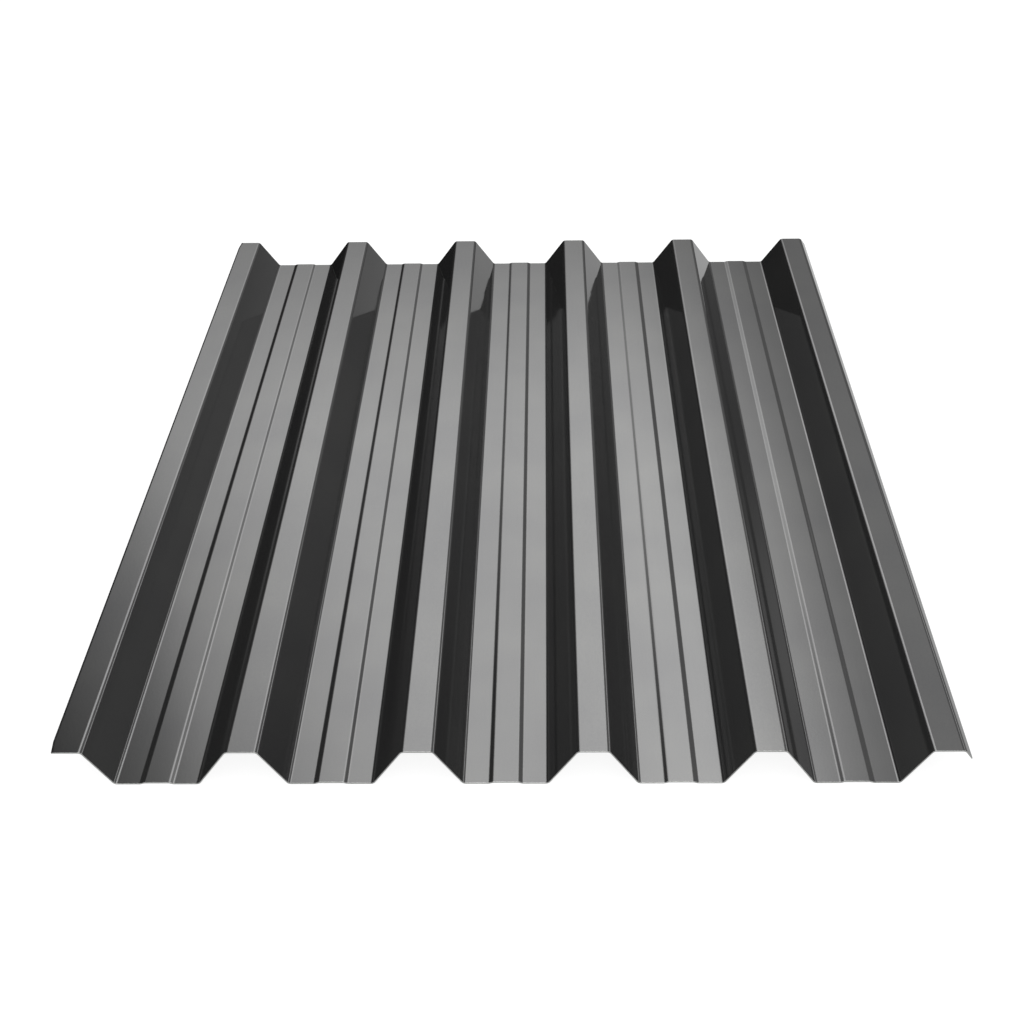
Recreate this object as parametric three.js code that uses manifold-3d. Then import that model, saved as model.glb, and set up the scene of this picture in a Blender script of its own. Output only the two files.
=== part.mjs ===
// Trapezoidal profiled steel sheet for roofs and walls: one strip of coil-coated
// steel, roll-formed into six ribs with a pan between each two of them.
//
// Millimetres. +Z is up, X runs across the ribs and Y along them. The origin is at
// the middle of the sheet's overall length and width, at the level that its pans lie
// on. The section is drawn about the middle of the ribs and then centred.
import * as THREE from 'three';
import { mergeVertices } from 'three/addons/utils/BufferGeometryUtils.js';
import Module from 'manifold-3d';

// ---- Strip -------------------------------------------------------------------
const sheetLength = 1500;      // cut length, along the ribs
const thickness = 1.25;        // steel with its coatings
const bendRadius = 5.5;        // inside radius of the rib bends

// ---- Ribs and pans, measured on the top face between sharp corners -------------
const ribCount = 6;
const ribPitch = 200;          // centre to centre of the ribs
const ribHeight = 45;          // pan face to crest face
const crestWidth = 36.4;       // flat top of a rib
const panWidth = 96.5;         // flat bottom between two ribs

// ---- Stiffening band along the middle of each pan ------------------------------
const bandRise = 1.5;          // height of the band above the pan
const bandWidth = 29;          // its flat top
const bandSlope = 4.8;         // width of each sloping side
const bandRadius = 7;          // inside radius of its soft bends

// ---- Long edges ------------------------------------------------------------------
const lapLip = 13.5;           // free flank of the lapping rib, down its slope
const freeCrestHalf = 16.6;    // half width of the lapped rib's crest, on its free side
const droopLength = 1.8;       // free edge turned down past that crest
const droopAngle = 40;         // degrees below level
const droopRadius = 2.5;       // inside radius of that turn
const snipWidth = 3;           // corners of the free edge are snipped: across the ribs
const snipLength = 22;         // and along them

// ---- Rounding of the bends -------------------------------------------------------
const maxArcStep = 9;          // degrees between the faces of a bend

const radians = THREE.MathUtils.degToRad;

// Centre of a rib, counted from the left.
const ribCentre = (index) => (index - (ribCount - 1) / 2) * ribPitch;

const flankRun = (ribPitch - crestWidth - panWidth) / 2;
const flankAngle = Math.atan2(ribHeight, flankRun);

// Corners of the two outer crests, and the long edges past them.
const freeCorner = ribCentre(0) - freeCrestHalf;
const lapCorner = ribCentre(ribCount - 1) + crestWidth / 2;
const freeEdge = freeCorner - droopLength * Math.cos(radians(droopAngle));
const lapEdge = lapCorner + lapLip * Math.cos(flankAngle);

// Corners of the top face over one pan, from the foot of its left rib to the foot of
// its right one. Each corner is [x, z, inside radius].
function panCorners(middle) {
  const bandFoot = bandWidth / 2 + bandSlope;
  return [
    [middle - panWidth / 2, 0, bendRadius],
    [middle - bandFoot, 0, bandRadius],
    [middle - bandWidth / 2, bandRise, bandRadius],
    [middle + bandWidth / 2, bandRise, bandRadius],
    [middle + bandFoot, 0, bandRadius],
    [middle + panWidth / 2, 0, bendRadius],
  ];
}

// Corners of the whole top face, from the free edge on the left to the lapping lip on
// the right.
function sheetCorners() {
  const corners = [
    [freeEdge, ribHeight - droopLength * Math.sin(radians(droopAngle)), 0],
    [freeCorner, ribHeight, droopRadius],
  ];
  for (let rib = 0; rib < ribCount - 1; rib += 1) {
    corners.push([ribCentre(rib) + crestWidth / 2, ribHeight, bendRadius]);
    corners.push(...panCorners(ribCentre(rib) + ribPitch / 2));
    corners.push([ribCentre(rib + 1) - crestWidth / 2, ribHeight, bendRadius]);
  }
  corners.push([lapCorner, ribHeight, bendRadius]);
  corners.push([lapEdge, ribHeight - lapLip * Math.sin(flankAngle), 0]);
  return corners;
}

// Follows the top face through its corners and rounds each of them. A corner that
// turns down has the top face on its outside, so its radius there is one thickness
// more. Returns points, each with the unit normal of the top face.
function roundedLine(corners) {
  const stations = [];
  const first = new THREE.Vector2(corners[0][0], corners[0][1]);
  const second = new THREE.Vector2(corners[1][0], corners[1][1]);
  const startAngle = second.clone().sub(first).angle();
  stations.push(station(first, startAngle));

  for (let i = 1; i < corners.length - 1; i += 1) {
    const [before, corner, after] = [i - 1, i, i + 1].map(
      (k) => new THREE.Vector2(corners[k][0], corners[k][1]),
    );
    const inAngle = Math.atan2(corner.y - before.y, corner.x - before.x);
    const outAngle = Math.atan2(after.y - corner.y, after.x - corner.x);
    const turn = outAngle - inAngle;
    const radius = corners[i][2] + (turn < 0 ? thickness : 0);
    const tangentLength = radius * Math.tan(Math.abs(turn) / 2);

    // The arc starts where it touches the incoming line, and each further point is
    // one chord on from the last.
    const point = corner.clone().sub(heading(inAngle).multiplyScalar(tangentLength));
    const steps = Math.ceil(Math.abs(turn) / radians(maxArcStep));
    const chord = 2 * radius * Math.sin(Math.abs(turn) / steps / 2);
    stations.push(station(point, inAngle));
    for (let k = 0; k < steps; k += 1) {
      point.add(heading(inAngle + (turn * (k + 0.5)) / steps).multiplyScalar(chord));
      stations.push(station(point, inAngle + (turn * (k + 1)) / steps));
    }
  }

  const [beforeLast, last] = corners.slice(-2).map(([x, z]) => new THREE.Vector2(x, z));
  stations.push(station(last, last.clone().sub(beforeLast).angle()));
  return stations;
}

// Unit vector at an angle from +X.
function heading(angle) {
  return new THREE.Vector2(Math.cos(angle), Math.sin(angle));
}

// A point of the top face, where the face heads at the given angle.
function station(point, angle) {
  return { point: point.clone(), normal: heading(angle + Math.PI / 2) };
}

// Cross-section of the sheet: along the top face, and back along the underside, one
// thickness below it. The section is raised so that its underside is at zero.
function sheetSection() {
  const line = roundedLine(sheetCorners());
  const top = line.map(({ point }) => point.clone());
  const underside = line.map(({ point, normal }) =>
    point.clone().addScaledVector(normal, -thickness));
  const outline = [...underside, ...top.reverse()];
  return new THREE.Shape(outline.map(({ x, y }) => new THREE.Vector2(x, y + thickness)));
}

// Extrudes a shape drawn in X and Z along +Y, from the given start.
function extrudeAlongY(shape, start, length) {
  const geometry = new THREE.ExtrudeGeometry(shape, { depth: length, bevelEnabled: false });
  geometry.rotateX(Math.PI / 2);
  geometry.translate(0, start + length, 0);
  return geometry;
}

// Wedge that takes one corner off the free edge: a triangle in plan, taller than the
// sheet. end is -1 at the near end of the sheet and +1 at the far end.
function cornerSnip(end) {
  const spareAcross = snipWidth;
  const spareAlong = snipLength;
  const near = freeEdge - spareAcross;
  const far = freeEdge + snipWidth + spareAcross;
  const inner = sheetLength / 2 - snipLength - spareAlong;
  const outer = sheetLength / 2 + spareAlong;
  const plan = new THREE.Shape([
    new THREE.Vector2(near, end * inner),
    new THREE.Vector2(far, end * outer),
    new THREE.Vector2(near, end * outer),
  ]);
  return new THREE.ExtrudeGeometry(plan, { depth: 2 * ribHeight, bevelEnabled: false });
}

// Closed geometry to solid and back, for the cuts.
const manifold = await Module();
manifold.setup();

function toSolid(geometry) {
  const positions = geometry.clone();
  positions.deleteAttribute('normal');
  positions.deleteAttribute('uv');
  const merged = mergeVertices(positions, 1e-4);
  return new manifold.Manifold(new manifold.Mesh({
    numProp: 3,
    vertProperties: new Float32Array(merged.attributes.position.array),
    triVerts: new Uint32Array(merged.index.array),
  }));
}

function toGeometry(solid) {
  const mesh = solid.getMesh();
  const geometry = new THREE.BufferGeometry();
  geometry.setAttribute('position', new THREE.BufferAttribute(mesh.vertProperties, mesh.numProp));
  geometry.setIndex(new THREE.BufferAttribute(mesh.triVerts, 1));
  geometry.computeVertexNormals();
  return geometry;
}

// ---- The sheet -------------------------------------------------------------------
const strip = toSolid(extrudeAlongY(sheetSection(), -sheetLength / 2, sheetLength));
const snips = [-1, 1].map((end) => toSolid(cornerSnip(end)));
const sheetGeometry = toGeometry(snips.reduce((solid, snip) => solid.subtract(snip), strip));

const graphitePaint = new THREE.MeshStandardMaterial({
  color: 0x3a3b3d,
  roughness: 0.35,
  metalness: 0.0,
});

const sheet = new THREE.Mesh(sheetGeometry, graphitePaint);
sheet.name = 'profiled_sheet';
sheet.position.x = -(freeEdge + lapEdge) / 2;

const group = new THREE.Group();
group.add(sheet);

export default group;
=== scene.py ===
"""Looks of a trapezoidal profiled steel sheet: six ribs, five pans, graphite coil coating.

Metres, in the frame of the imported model: +Z up, X across the ribs, Y along them. The sheet
lies on its pans at z = 0.
"""
import math

import bpy
import numpy as np
from mathutils import Matrix, Vector


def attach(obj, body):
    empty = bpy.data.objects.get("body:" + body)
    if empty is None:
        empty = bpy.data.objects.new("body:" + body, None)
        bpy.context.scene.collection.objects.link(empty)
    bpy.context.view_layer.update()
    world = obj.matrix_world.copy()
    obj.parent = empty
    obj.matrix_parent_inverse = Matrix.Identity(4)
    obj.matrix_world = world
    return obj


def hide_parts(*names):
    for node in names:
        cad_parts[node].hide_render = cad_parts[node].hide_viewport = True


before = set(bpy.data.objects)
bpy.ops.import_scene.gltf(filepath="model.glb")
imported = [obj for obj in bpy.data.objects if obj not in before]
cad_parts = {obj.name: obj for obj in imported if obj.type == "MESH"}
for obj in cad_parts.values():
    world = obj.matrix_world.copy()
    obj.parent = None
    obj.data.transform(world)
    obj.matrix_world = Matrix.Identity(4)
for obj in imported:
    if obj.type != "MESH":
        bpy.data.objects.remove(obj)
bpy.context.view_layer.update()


# ---- The sheet ---------------------------------------------------------------------
# One strip of galvanised steel with a coloured coat on top and a pale backing coat
# below, run through forming rolls that bend it into six ribs. It is cut to length by a
# shear, so its four edges are bare metal. Nothing is fixed to it.
MM = 0.001

SHEET_LENGTH = 1500 * MM
THICKNESS = 1.25 * MM
RIB_COUNT = 6
RIB_PITCH = 200 * MM
RIB_HEIGHT = 45 * MM
CREST_WIDTH = 36.4 * MM      # between sharp corners of the top face, as all widths here
PAN_WIDTH = 96.5 * MM
BEND_RADIUS = 5.5 * MM       # inside the bend
BAND_RISE = 1.5 * MM         # stiffening band along the middle of each pan
BAND_WIDTH = 29 * MM
BAND_SLOPE = 4.8 * MM
BAND_RADIUS = 7 * MM
LAP_LIP = 13.5 * MM          # lapping edge, down the slope of the last rib
FREE_CREST_HALF = 16.6 * MM  # lapped edge, past the middle of the first rib
DROOP_LENGTH = 1.8 * MM
DROOP_ANGLE = math.radians(40)
DROOP_RADIUS = 2.5 * MM
SNIP_WIDTH = 3 * MM          # corners of the lapped edge, across the ribs and along them
SNIP_LENGTH = 22 * MM

flank_angle = math.atan2(RIB_HEIGHT, (RIB_PITCH - CREST_WIDTH - PAN_WIDTH) / 2)
rib_centres = (np.arange(RIB_COUNT) - (RIB_COUNT - 1) / 2) * RIB_PITCH


def sheet_corners():
    """Sharp corners of the top face from the lapped edge to the lapping lip, as rows of
    x, z and inside radius. One rib and the pan after it are ten corners, repeated at each
    rib centre; the two edges are joined on at the ends."""
    crest, pan, middle = CREST_WIDTH / 2, PAN_WIDTH / 2, RIB_PITCH / 2
    band_top, band_foot = BAND_WIDTH / 2, BAND_WIDTH / 2 + BAND_SLOPE
    one_bay = np.array([
        (crest, RIB_HEIGHT, BEND_RADIUS),
        (middle - pan, 0, BEND_RADIUS),
        (middle - band_foot, 0, BAND_RADIUS),
        (middle - band_top, BAND_RISE, BAND_RADIUS),
        (middle + band_top, BAND_RISE, BAND_RADIUS),
        (middle + band_foot, 0, BAND_RADIUS),
        (middle + pan, 0, BEND_RADIUS),
        (RIB_PITCH - crest, RIB_HEIGHT, BEND_RADIUS),
    ])
    bays = np.tile(one_bay, (RIB_COUNT - 1, 1, 1))
    bays[:, :, 0] += rib_centres[:-1, None]
    free, lap = rib_centres[0] - FREE_CREST_HALF, rib_centres[-1] + crest
    first = [
        (free - DROOP_LENGTH * math.cos(DROOP_ANGLE),
         RIB_HEIGHT - DROOP_LENGTH * math.sin(DROOP_ANGLE), 0),
        (free, RIB_HEIGHT, DROOP_RADIUS),
    ]
    last = [
        (lap, RIB_HEIGHT, BEND_RADIUS),
        (lap + LAP_LIP * math.cos(flank_angle),
         RIB_HEIGHT - LAP_LIP * math.sin(flank_angle), 0),
    ]
    return np.vstack([first, bays.reshape(-1, 3), last])


def rounded_line(corners, steps):
    """Stations x, z and heading along the corners, each corner rounded by an arc. An arc
    starts one tangent length, radius times tan(half the turn), before its corner; after
    it has turned to heading h, it has moved by radius times (sin h - sin start, cos start
    - cos h), taken backwards for a turn to the right. The top face is outside a turn to
    the right, so the radius there is a thickness more."""
    legs = np.diff(corners[:, :2], axis=0)
    headings = np.arctan2(legs[:, 1], legs[:, 0])
    start, turn = headings[:-1], np.diff(headings)
    side = np.sign(turn)
    radius = corners[1:-1, 2] + np.where(side < 0, THICKNESS, 0)
    tangent = radius * np.tan(np.abs(turn) / 2)
    along = np.stack([np.cos(start), np.sin(start)], axis=1)
    begin = corners[1:-1, :2] - tangent[:, None] * along
    heading = start[:, None] + turn[:, None] * np.linspace(0, 1, steps + 1)
    reach = (side * radius)[:, None]
    x = begin[:, :1] + reach * (np.sin(heading) - np.sin(start)[:, None])
    z = begin[:, 1:] + reach * (np.cos(start)[:, None] - np.cos(heading))
    arcs = np.stack([x, z, heading], axis=2)
    # Two more stations, a little way out on the flats, keep each flat's shading flat.
    ease = 0.3 * MM
    lead_in, lead_out = arcs[:, :1].copy(), arcs[:, -1:].copy()
    lead_in[:, 0, 0] -= ease * np.cos(lead_in[:, 0, 2])
    lead_in[:, 0, 1] -= ease * np.sin(lead_in[:, 0, 2])
    lead_out[:, 0, 0] += ease * np.cos(lead_out[:, 0, 2])
    lead_out[:, 0, 1] += ease * np.sin(lead_out[:, 0, 2])
    stations = np.concatenate([lead_in, arcs, lead_out], axis=1).reshape(-1, 3)
    ends = np.array([
        (*corners[0, :2], headings[0]),
        (*corners[-1, :2], headings[-1]),
    ])
    return np.vstack([ends[:1], stations[1:], ends[1:]])


line = rounded_line(sheet_corners(), steps=12)
line[:, 0] -= (line[0, 0] + line[-1, 0]) / 2
line[:, 1] += THICKNESS


def sheet_surface(line, rows):
    """Top and bottom face of the sheet as two grids of points, rows along Y by stations
    across. The top face is the line carried along Y; the bottom face is that less one
    thickness along the line's normal. Near both ends the line starts up to a snip's width
    later, growing evenly over the snip's length."""
    run = np.concatenate([[0], np.cumsum(np.hypot(*np.diff(line[:, :2], axis=0).T))])
    kept = np.searchsorted(run, 3 * SNIP_WIDTH)
    trim = SNIP_WIDTH * np.clip((np.abs(rows) - SHEET_LENGTH / 2) / SNIP_LENGTH + 1, 0, 1)
    along = np.tile(run, (len(rows), 1))
    along[:, :kept] = trim[:, None] + run[:kept] * (1 - trim[:, None] / run[kept])
    x, z, heading = (np.interp(along, run, line[:, k]) for k in range(3))
    y = np.broadcast_to(rows[:, None], x.shape)
    top = np.stack([x, y, z], axis=2)
    normal = np.stack([-np.sin(heading), np.zeros_like(x), np.cos(heading)], axis=2)
    return top, top - THICKNESS * normal


def grid_faces(across, rows, offset, flip):
    """Quads between neighbouring rows and stations of a grid whose points are numbered
    row by row, each turned so that it faces out."""
    r, s = np.meshgrid(np.arange(rows - 1), np.arange(across - 1), indexing="ij")
    a = (r * across + s).ravel() + offset
    quads = np.stack([a, a + 1, a + across + 1, a + across], axis=1)
    return quads[:, ::-1] if flip else quads


def edge_faces(first, second, flip):
    """Quads across the cut edge, between one border of the top face and the same border
    of the bottom face."""
    quads = np.stack([first[:-1], second[:-1], second[1:], first[1:]], axis=1)
    return quads[:, ::-1] if flip else quads


half = SHEET_LENGTH / 2
rows = np.array([-1, SNIP_LENGTH / half - 1, -0.5, 0, 0.5, 1 - SNIP_LENGTH / half, 1]) * half
top, bottom = sheet_surface(line, rows)
row_count, across = top.shape[:2]
number = np.arange(row_count * across).reshape(row_count, across)
below = number + number.size
faces = [
    grid_faces(across, row_count, 0, False),
    grid_faces(across, row_count, number.size, True),
    edge_faces(number[0], below[0], False),
    edge_faces(number[-1], below[-1], True),
    edge_faces(number[:, 0], below[:, 0], True),
    edge_faces(number[:, -1], below[:, -1], False),
]
finish_of = np.repeat([0, 1, 2, 2, 2, 2], [len(f) for f in faces])
mesh = bpy.data.meshes.new("sheet_skin")
mesh.from_pydata(np.vstack([top.reshape(-1, 3), bottom.reshape(-1, 3)]), [], np.vstack(faces))
sheet = bpy.data.objects.new("sheet_skin", mesh)
bpy.context.collection.objects.link(sheet)
mesh.polygons.foreach_set("material_index", finish_of)
mesh.polygons.foreach_set("use_smooth", finish_of < 2)
# The shear leaves crisp edges: both ends of such an edge lie on one border of the grid.
ends = np.empty(len(mesh.edges) * 2, dtype=np.int32)
mesh.edges.foreach_get("vertices", ends)
row, station = np.divmod(ends.reshape(-1, 2) % number.size, across)
at_border = [row == 0, row == row_count - 1, station == 0, station == across - 1]
mesh.edges.foreach_set("use_edge_sharp", np.any([b.all(axis=1) for b in at_border], axis=0))


def srgb(code):
    """Linear colour of an sRGB hex code: each channel over 255, less 0.055, over 1.055, to
    the power 2.4, or over 12.92 where it is very dark."""
    parts = [int(code[i:i + 2], 16) / 255 for i in (1, 3, 5)]
    return (*((p / 12.92 if p <= 0.04045 else ((p + 0.055) / 1.055) ** 2.4) for p in parts), 1)


def node(tree, kind, links=(), **settings):
    """Adds a node. Settings name its properties or, with an underscore for each space,
    its inputs; links join an input, by name or number, to another node's output."""
    made = tree.nodes.new(kind)
    for name, value in settings.items():
        if hasattr(made, name):
            setattr(made, name, value)
        else:
            entry = int(name[1:]) if name[1:].isdigit() else name.replace("_", " ")
            made.inputs[entry].default_value = value
    for name, output in dict(links).items():
        tree.links.new(output, made.inputs[name])
    return made


def new_material(name):
    """An empty node material and its output."""
    made = bpy.data.materials.new(name)
    made.use_nodes = True
    made.node_tree.nodes.clear()
    return made, node(made.node_tree, "ShaderNodeOutputMaterial")


# Two numbers that the finishes read along the surface: how far a point lies through the
# thickness, from 0 on the top face to 1 below, and how sharply the sheet turns there, from
# 0 on the flats to 1 inside a bend.
through = np.repeat([0.0, 1.0], number.size)
mesh.attributes.new("through_sheet", "FLOAT", "POINT").data.foreach_set("value", through)
least_turn = math.radians(0.5)
turning = np.abs(np.gradient(line[:, 2])) > least_turn
in_bend = np.tile(turning.astype(float), 2 * row_count)
mesh.attributes.new("in_bend", "FLOAT", "POINT").data.foreach_set("value", in_bend)

# Graphite coil coating: polyester lacquer over aluminium flake, roller-coated on the flat
# strip and stoved. It mirrors about a fifteenth of the light, so it looks near black where
# the studio is dark and mid grey under a softbox. Close to, it shows flake grain, a faint
# orange peel, and dull lengthwise marks where the forming rolls rubbed it.
coat, out = new_material("graphite_coil_coating")
tree = coat.node_tree
place = node(tree, "ShaderNodeTexCoord").outputs["Object"]
# Real flakes are under 0.1 mm; the grain is drawn 1.3 mm wide so that it shows.
flake = node(tree, "ShaderNodeTexNoise", {"Vector": place}, Scale=1 / (1.3 * MM), Detail=1.0)
cloud = node(tree, "ShaderNodeTexNoise", {"Vector": place}, Scale=1 / (140 * MM), Detail=2.0)
tone = node(tree, "ShaderNodeMath", {0: flake.outputs[0], 1: cloud.outputs[0]}, operation="ADD")
tone = node(tree, "ShaderNodeMapRange", {"Value": tone.outputs[0]}, From_Min=0.5, From_Max=1.5)
graphite = node(
    tree, "ShaderNodeMix", {0: tone.outputs[0]}, data_type="RGBA",
    _6=srgb("#4a4a4b"), _7=srgb("#555554"))
# Rub marks, 5 mm wide and about half a metre long.
drawn = node(
    tree, "ShaderNodeMapping", {"Vector": place},
    Scale=(1 / (5 * MM), 1 / (500 * MM), 1 / (5 * MM)))
rub = node(tree, "ShaderNodeTexNoise", {"Vector": drawn.outputs[0]}, Scale=1.0, Detail=3.0)
gloss = node(
    tree, "ShaderNodeMapRange", {"Value": rub.outputs[0]},
    From_Min=0.3, From_Max=0.7, To_Min=0.035, To_Max=0.075)
# The lacquer is stretched over the bends and a little duller there.
bend = node(tree, "ShaderNodeAttribute", attribute_name="in_bend").outputs["Fac"]
gloss = node(
    tree, "ShaderNodeMath", {0: bend, 2: gloss.outputs[0]}, operation="MULTIPLY_ADD", _1=0.03)
# The shear bares about half a millimetre of zinc along both cut ends.
along = node(tree, "ShaderNodeSeparateXYZ", {0: place}).outputs["Y"]
along = node(tree, "ShaderNodeMath", {0: along}, operation="ABSOLUTE").outputs[0]
along = node(
    tree, "ShaderNodeMath", {0: flake.outputs[0], 2: along}, operation="MULTIPLY_ADD",
    _1=0.8 * MM)
chip = node(
    tree, "ShaderNodeMapRange", {"Value": along.outputs[0]},
    From_Min=half - 0.3 * MM, From_Max=half + 0.1 * MM).outputs[0]
colour = node(
    tree, "ShaderNodeMix", {0: chip, 6: graphite.outputs[2]}, data_type="RGBA",
    _7=srgb("#9b9c9a"))
gloss = node(
    tree, "ShaderNodeMath", {0: chip, 2: gloss.outputs[0]}, operation="MULTIPLY_ADD", _1=0.3)
# Orange peel, 2.5 mm across and a hundredth of a millimetre deep, on flats that are never
# quite flat: they wave by a tenth of a millimetre over a hand's width.
wide = node(
    tree, "ShaderNodeMapping", {"Vector": place},
    Scale=(1 / (110 * MM), 1 / (450 * MM), 1 / (110 * MM)))
wave = node(tree, "ShaderNodeTexNoise", {"Vector": wide.outputs[0]}, Scale=1.0, Detail=0.0)
wave = node(
    tree, "ShaderNodeBump", {"Height": wave.outputs[0]}, Strength=1.0, Distance=0.1 * MM)
peel = node(tree, "ShaderNodeTexNoise", {"Vector": place}, Scale=1 / (2.5 * MM), Detail=1.0)
relief = node(
    tree, "ShaderNodeBump", {"Height": peel.outputs[0], "Normal": wave.outputs[0]},
    Strength=1.0, Distance=0.01 * MM)
shader = node(
    tree, "ShaderNodeBsdfPrincipled",
    {"Base Color": colour.outputs[2], "Roughness": gloss.outputs[0], "Normal": relief.outputs[0]},
    Metallic=0.72, Specular_Tint=(0.45, 0.45, 0.45, 1))
tree.links.new(shader.outputs[0], out.inputs[0])

# Backing coat: a thin pale epoxy coat on the underside, matt, with lengthwise streaks from
# the coating roller and a fine stipple.
backing, out = new_material("pale_epoxy_backing_coat")
tree = backing.node_tree
place = node(tree, "ShaderNodeTexCoord").outputs["Object"]
drawn = node(
    tree, "ShaderNodeMapping", {"Vector": place},
    Scale=(1 / (8 * MM), 1 / (700 * MM), 1 / (8 * MM)))
streak = node(tree, "ShaderNodeTexNoise", {"Vector": drawn.outputs[0]}, Scale=1.0, Detail=4.0)
tone = node(
    tree, "ShaderNodeMapRange", {"Value": streak.outputs[0]}, From_Min=0.3, From_Max=0.7)
colour = node(
    tree, "ShaderNodeMix", {0: tone.outputs[0]}, data_type="RGBA",
    _6=srgb("#a9aca9"), _7=srgb("#bdc0bd"))
gloss = node(
    tree, "ShaderNodeMapRange", {"Value": streak.outputs[0]},
    From_Min=0.3, From_Max=0.7, To_Min=0.56, To_Max=0.42)
stipple = node(
    tree, "ShaderNodeTexNoise", {"Vector": place}, Scale=1 / (1.6 * MM), Detail=2.0)
relief = node(
    tree, "ShaderNodeBump", {"Height": stipple.outputs[0]}, Strength=1.0, Distance=0.04 * MM)
shader = node(
    tree, "ShaderNodeBsdfPrincipled",
    {"Base Color": colour.outputs[2], "Roughness": gloss.outputs[0], "Normal": relief.outputs[0]})
tree.links.new(shader.outputs[0], out.inputs[0])

# Sheared galvanised edge: the blade burnishes the upper part of the cut and the rest
# tears off duller and rougher, with fine marks running through the thickness.
bare, out = new_material("sheared_galvanised_edge")
tree = bare.node_tree
place = node(tree, "ShaderNodeTexCoord").outputs["Object"]
marks = node(
    tree, "ShaderNodeMapping", {"Vector": place},
    Scale=(1 / (0.6 * MM), 1 / (0.6 * MM), 1 / (6 * MM)))
marks = node(tree, "ShaderNodeTexNoise", {"Vector": marks.outputs[0]}, Scale=1.0, Detail=2.0)
depth = node(tree, "ShaderNodeAttribute", attribute_name="through_sheet").outputs["Fac"]
torn = node(
    tree, "ShaderNodeMath", {0: marks.outputs[0], 2: depth}, operation="MULTIPLY_ADD", _1=0.3)
torn = node(
    tree, "ShaderNodeMapRange", {"Value": torn.outputs[0]}, From_Min=0.42, From_Max=0.56)
colour = node(
    tree, "ShaderNodeMix", {0: torn.outputs[0]}, data_type="RGBA",
    _6=srgb("#b6b7b5"), _7=srgb("#9fa09e"))
gloss = node(tree, "ShaderNodeMapRange", {"Value": torn.outputs[0]}, To_Min=0.35, To_Max=0.55)
relief = node(
    tree, "ShaderNodeBump", {"Height": marks.outputs[0]}, Strength=1.0, Distance=0.05 * MM)
shader = node(
    tree, "ShaderNodeBsdfPrincipled",
    {"Base Color": colour.outputs[2], "Roughness": gloss.outputs[0], "Normal": relief.outputs[0]},
    Metallic=0.3)
tree.links.new(shader.outputs[0], out.inputs[0])

for finish in (coat, backing, bare):
    mesh.materials.append(finish)
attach(sheet, "root")
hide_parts("profiled_sheet")


# ---- Floor and surroundings ---------------------------------------------------------
# A plain floor and surround, white to the camera. Only the camera sees the floor's own
# white, so that it sends little light up and keeps the sheet's soft shadow.
floor_mesh = bpy.data.meshes.new("floor")
floor_mesh.from_pydata([(-9, -9, 0), (9, -9, 0), (9, 9, 0), (-9, 9, 0)], [], [(0, 1, 2, 3)])
floor = bpy.data.objects.new("floor", floor_mesh)
bpy.context.collection.objects.link(floor)
floor.visible_glossy = False
floor_white, out = new_material("studio_floor")
tree = floor_white.node_tree
path = node(tree, "ShaderNodeLightPath").outputs
paper = node(tree, "ShaderNodeBsdfDiffuse", Color=(0.2, 0.2, 0.2, 1))
glow = node(
    tree, "ShaderNodeEmission", {"Strength": path["Is Camera Ray"]}, Color=(0.9, 0.9, 0.9, 1))
both = node(tree, "ShaderNodeAddShader", {0: paper.outputs[0], 1: glow.outputs[0]})
tree.links.new(both.outputs[0], out.inputs[0])
floor_mesh.materials.append(floor_white)

world = bpy.data.worlds.new("white_surround")
bpy.context.scene.world = world
world.use_nodes = True
tree = world.node_tree
tree.nodes.clear()
sky = node(tree, "ShaderNodeTexCoord").outputs["Generated"]
sky = node(tree, "ShaderNodeSeparateXYZ", {0: sky}).outputs
turn = node(tree, "ShaderNodeMath", {0: sky["X"], 1: sky["Y"]}, operation="ARCTAN2").outputs[0]
turn = node(tree, "ShaderNodeMath", {0: turn}, operation="DEGREES").outputs[0]
rise = node(tree, "ShaderNodeMath", {0: sky["Z"]}, operation="ARCSINE").outputs[0]
rise = node(tree, "ShaderNodeMath", {0: rise}, operation="DEGREES").outputs[0]


def softbox(level, left, right, low, high, lean=(0, 0)):
    """Light from one soft-edged box: level, times a smooth step up over the degrees of turn
    in left, down over those in right, up over the degrees of rise in low and down over
    those in high. Turn counts from straight behind the sheet towards its right. The left
    and right sides move by their lean for each degree of rise above 30."""
    light = node(tree, "ShaderNodeValue")
    light.outputs[0].default_value = level
    for angle, (start, end), before, after, slope in (
        (turn, left, 0, 1, lean[0]), (turn, right, 1, 0, lean[1]),
        (rise, low, 0, 1, 0), (rise, high, 1, 0, 0),
    ):
        shift = node(
            tree, "ShaderNodeMath", {0: rise}, operation="MULTIPLY_ADD", _1=-slope, _2=30 * slope)
        moved = node(tree, "ShaderNodeMath", {0: angle, 1: shift.outputs[0]}, operation="ADD")
        step = node(
            tree, "ShaderNodeMapRange", {"Value": moved.outputs[0]},
            interpolation_type="SMOOTHSTEP",
            From_Min=start, From_Max=end, To_Min=before, To_Max=after)
        light = node(
            tree, "ShaderNodeMath", {0: light.outputs[0], 1: step.outputs[0]},
            operation="MULTIPLY")
    return light.outputs[0]


# The studio that the sheet mirrors. Behind it: a tall box straight ahead with a dimmer one
# beside it, a low one further right, a dim horizon over a pale floor, and nothing to the
# left. In front of it: a long box on each side. Between the boxes it is dimmer for matt
# surfaces than for mirrored rays.
path = node(tree, "ShaderNodeLightPath").outputs
mirror = node(
    tree, "ShaderNodeMath", {0: path["Is Glossy Ray"], 1: path["Is Transmission Ray"]},
    operation="MAXIMUM")
level = node(
    tree, "ShaderNodeMapRange", {"Value": mirror.outputs[0]}, To_Min=0.3, To_Max=0.71).outputs[0]
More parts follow.
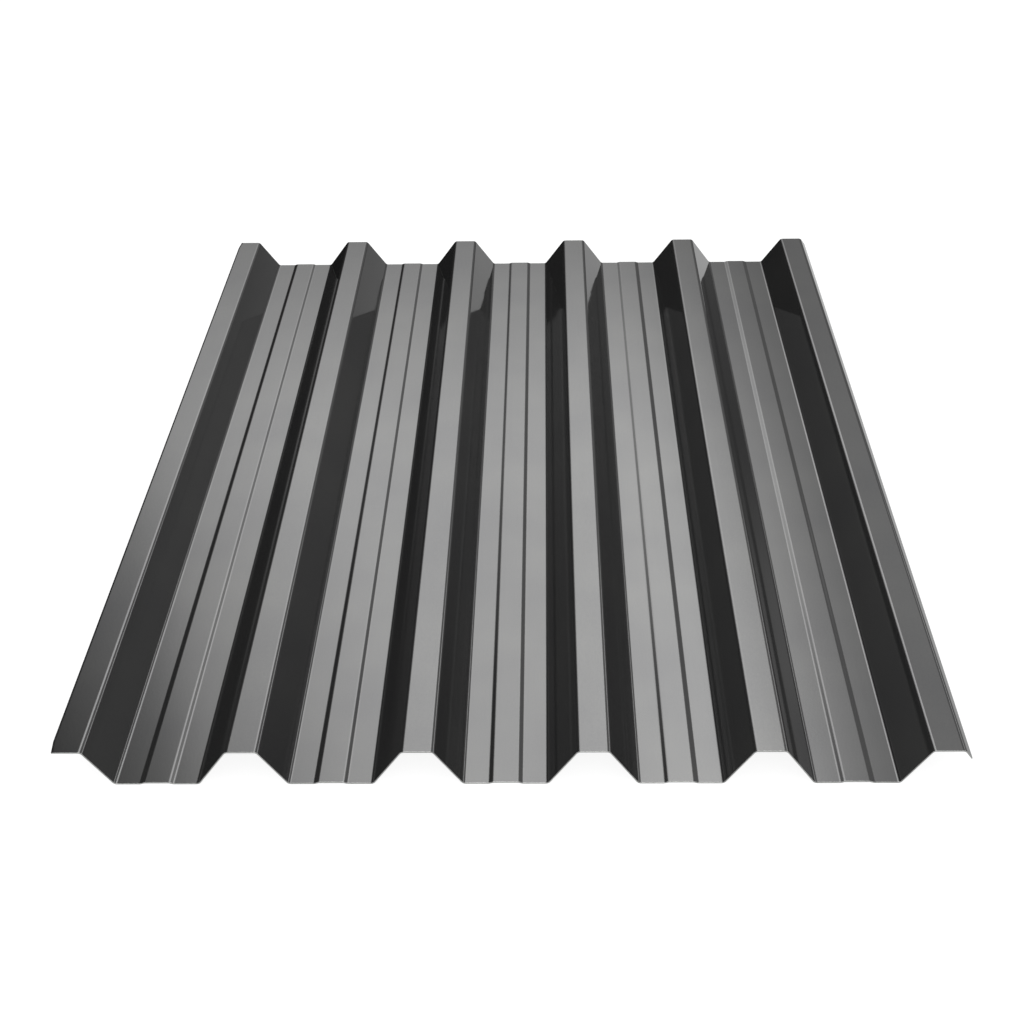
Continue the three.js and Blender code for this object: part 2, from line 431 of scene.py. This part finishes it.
# The left is unlit: the level there is multiplied by 1 - 1, and by 1 elsewhere.
unlit = softbox(-1, (-75, -60), (-16, -13), (-95, -91), (91, 95))
lit = node(tree, "ShaderNodeMath", {0: unlit}, operation="ADD", _1=1.0).outputs[0]
level = node(tree, "ShaderNodeMath", {0: level, 1: lit}, operation="MULTIPLY").outputs[0]
for light in (
    softbox(3.93, (-24.8, -5.6), (3, 11.2), (16.2, 29.7), (50, 60), lean=(0.33, 0.39)),
    softbox(0.93, (-3.4, 11.8), (12.5, 16.5), (8, 32), (50, 60), lean=(0, 0.5)),
    softbox(3.4, (24.5, 32.5), (50, 60), (12, 17.7), (18.2, 22.5)),
    softbox(-0.55, (8, 16), (50, 60), (-0.5, 5), (6, 10)),
    softbox(0.54, (8, 16), (50, 60), (-95, -91), (-4, -0.5)),
    softbox(1.8, (60, 80), (300, 400), (15, 25), (50, 65)),
    softbox(1.8, (-400, -300), (-80, -60), (15, 25), (50, 65)),
):
    level = node(tree, "ShaderNodeMath", {0: level, 1: light}, operation="ADD").outputs[0]
studio = node(tree, "ShaderNodeBackground", {"Strength": level}, Color=(1, 1, 1, 1))
white = node(tree, "ShaderNodeBackground", Color=(1, 1, 1, 1), Strength=1.0)
seen = node(
    tree, "ShaderNodeMixShader",
    {0: path["Is Camera Ray"], 1: studio.outputs[0], 2: white.outputs[0]})
node(tree, "ShaderNodeOutputWorld", {0: seen.outputs[0]})


# ---- Camera -------------------------------------------------------------------------
# In front of the sheet and above it, turned a little left and rolled by a degree.
YAW, PITCH, ROLL = math.radians(-1.32088), math.radians(30.98862), math.radians(-0.96498)
ahead = Vector((math.sin(YAW), math.cos(YAW), 0)) * math.cos(PITCH)
ahead.z = -math.sin(PITCH)
sideways = Vector((math.cos(YAW), -math.sin(YAW), 0))
upright = sideways.cross(ahead)
right = math.cos(ROLL) * sideways + math.sin(ROLL) * upright
up = math.cos(ROLL) * upright - math.sin(ROLL) * sideways
lens = bpy.data.cameras.new("camera")
SENSOR_WIDTH, FOCAL_LENGTH = 36, 62.5933  # millimetres
lens.sensor_width, lens.lens = SENSOR_WIDTH, FOCAL_LENGTH
camera = bpy.data.objects.new("camera", lens)
eye = Vector((0.044662, -2.332090, 1.312256))
turned = Matrix((right, up, -ahead)).transposed().to_4x4()
camera.matrix_world = Matrix.Translation(eye) @ turned
bpy.context.collection.objects.link(camera)
bpy.context.scene.camera = camera
bpy.context.scene.view_settings.view_transform = "Standard"
